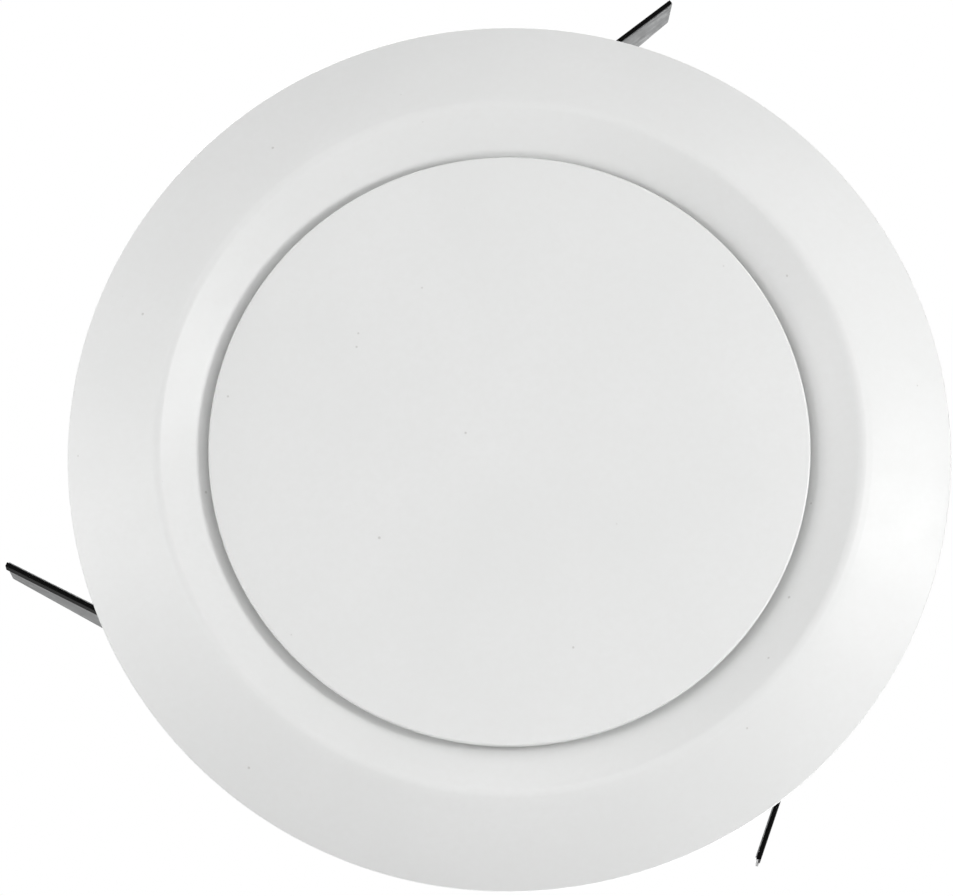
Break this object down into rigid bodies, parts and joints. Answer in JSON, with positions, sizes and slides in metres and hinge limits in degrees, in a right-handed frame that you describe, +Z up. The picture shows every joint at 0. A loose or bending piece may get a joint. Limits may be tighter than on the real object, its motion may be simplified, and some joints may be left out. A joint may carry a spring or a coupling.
{
  "type": "ceiling air diffuser",
  "caption": "Round white ceiling air diffuser with a turning centre disc, a conical face ring, a steel duct collar and swing-out clamp arms behind the rim.",
  "frame": {"origin": "centre of the ceiling plane: the back of the rim's gasket, on the diffuser's axis", "axes": "+Z points up into the ceiling void along the duct, and the room is below; X and Y lie in the ceiling plane, with the spider's arms along them"},
  "size_m": [0.2949, 0.292, 0.0874],
  "materials": {
    "white_abs": "satin white ABS, very fine moulded texture",
    "foam": "closed-cell foam strip",
    "galvanised": "galvanised sheet, faint spangle",
    "zinc_plated": "bright zinc plate",
    "grey_nylon": "moulded pale grey nylon",
    "spring_steel": "bright drawn spring steel",
    "black_rubber": "black rubber edging"
  },
  "bodies": {
    "housing": {"face_ring": "white_abs", "ceiling_gasket": "foam", "duct_collar": "galvanised", "collar_rivet_1": "zinc_plated", "collar_rivet_2": "zinc_plated", "collar_rivet_3": "zinc_plated", "collar_rivet_4": "zinc_plated", "collar_rivet_5": "zinc_plated", "collar_rivet_6": "zinc_plated", "core_ring": "white_abs", "core_spider": "grey_nylon", "spider_screw_1": "zinc_plated", "spider_screw_2": "zinc_plated", "spider_screw_3": "zinc_plated", "spider_screw_4": "zinc_plated", "hub_bush": "grey_nylon", "bush_retainer": "spring_steel", "backlash_spring": "spring_steel"},
    "spring_seat": {"slip_washer": "zinc_plated"},
    "disc": {"centre_disc": "white_abs", "spindle_plate": "grey_nylon", "plate_screw_1": "zinc_plated", "plate_screw_2": "zinc_plated", "plate_screw_3": "zinc_plated", "disc_spindle": "grey_nylon", "stop_nut": "grey_nylon"},
    "clamp_screw_1": {"clamp_screw_1": "zinc_plated", "clamp_lock_nut_1": "zinc_plated"},
    "clamp_nut_1": {"clamp_nut_1": "zinc_plated", "wave_washer_1": "spring_steel", "eye_clip_1": "spring_steel"},
    "arm_1": {"arm_blade_1": "galvanised", "arm_edge_strip_1": "black_rubber"},
    "clamp_screw_2": {"clamp_screw_2": "zinc_plated", "clamp_lock_nut_2": "zinc_plated"},
    "clamp_nut_2": {"clamp_nut_2": "zinc_plated", "wave_washer_2": "spring_steel", "eye_clip_2": "spring_steel"},
    "arm_2": {"arm_blade_2": "galvanised", "arm_edge_strip_2": "black_rubber"},
    "clamp_screw_3": {"clamp_screw_3": "zinc_plated", "clamp_lock_nut_3": "zinc_plated"},
    "clamp_nut_3": {"clamp_nut_3": "zinc_plated", "wave_washer_3": "spring_steel", "eye_clip_3": "spring_steel"},
    "arm_3": {"arm_blade_3": "galvanised", "arm_edge_strip_3": "black_rubber"}
  },
  "joints": [
    {"name": "disc_travel", "type": "slide", "parent": "housing", "child": "spring_seat", "axis": [0, 0, -1], "range_m": [0, 0.018], "deforming": ["backlash_spring"]},
    {"name": "disc_turn", "type": "hinge", "parent": "spring_seat", "child": "disc", "pos_m": [0, 0, 0], "axis": [0, 0, -1], "range_deg": [0, 647]},
    {"name": "clamp_turn_1", "type": "hinge", "parent": "housing", "child": "clamp_screw_1", "pos_m": [0.0021, -0.10938, 0], "axis": [0, 0, 1], "range_deg": [0, 12344]},
    {"name": "clamp_travel_1", "type": "slide", "parent": "housing", "child": "clamp_nut_1", "axis": [0, 0, -1], "range_m": [0, 0.024]},
    {"name": "arm_swing_1", "type": "hinge", "parent": "clamp_nut_1", "child": "arm_1", "pos_m": [0.0021, -0.10938, 0], "axis": [0, 0, 1], "range_deg": [-31.1, 64.9]},
    {"name": "clamp_turn_2", "type": "hinge", "parent": "housing", "child": "clamp_screw_2", "pos_m": [-0.09578, 0.05287, 0], "axis": [0, 0, 1], "range_deg": [0, 12344]},
    {"name": "clamp_travel_2", "type": "slide", "parent": "housing", "child": "clamp_nut_2", "axis": [0, 0, -1], "range_m": [0, 0.024]},
    {"name": "arm_swing_2", "type": "hinge", "parent": "clamp_nut_2", "child": "arm_2", "pos_m": [-0.09578, 0.05287, 0], "axis": [0, 0, 1], "range_deg": [-35.9, 60.1]},
    {"name": "clamp_turn_3", "type": "hinge", "parent": "housing", "child": "clamp_screw_3", "pos_m": [0.09368, 0.05651, 0], "axis": [0, 0, 1], "range_deg": [0, 12344]},
    {"name": "clamp_travel_3", "type": "slide", "parent": "housing", "child": "clamp_nut_3", "axis": [0, 0, -1], "range_m": [0, 0.024]},
    {"name": "arm_swing_3", "type": "hinge", "parent": "clamp_nut_3", "child": "arm_3", "pos_m": [0.09368, 0.05651, 0], "axis": [0, 0, 1], "range_deg": [-57.7, 38.3]}
  ],
  "couplings": [
    {"joint": "disc_travel", "follows": "disc_turn", "m_per_rad": 0.0015915},
    {"joint": "clamp_turn_1", "follows": "clamp_travel_1", "rad_per_m": 8976},
    {"joint": "clamp_turn_2", "follows": "clamp_travel_2", "rad_per_m": 8976},
    {"joint": "clamp_turn_3", "follows": "clamp_travel_3", "rad_per_m": 8976}
  ]
}
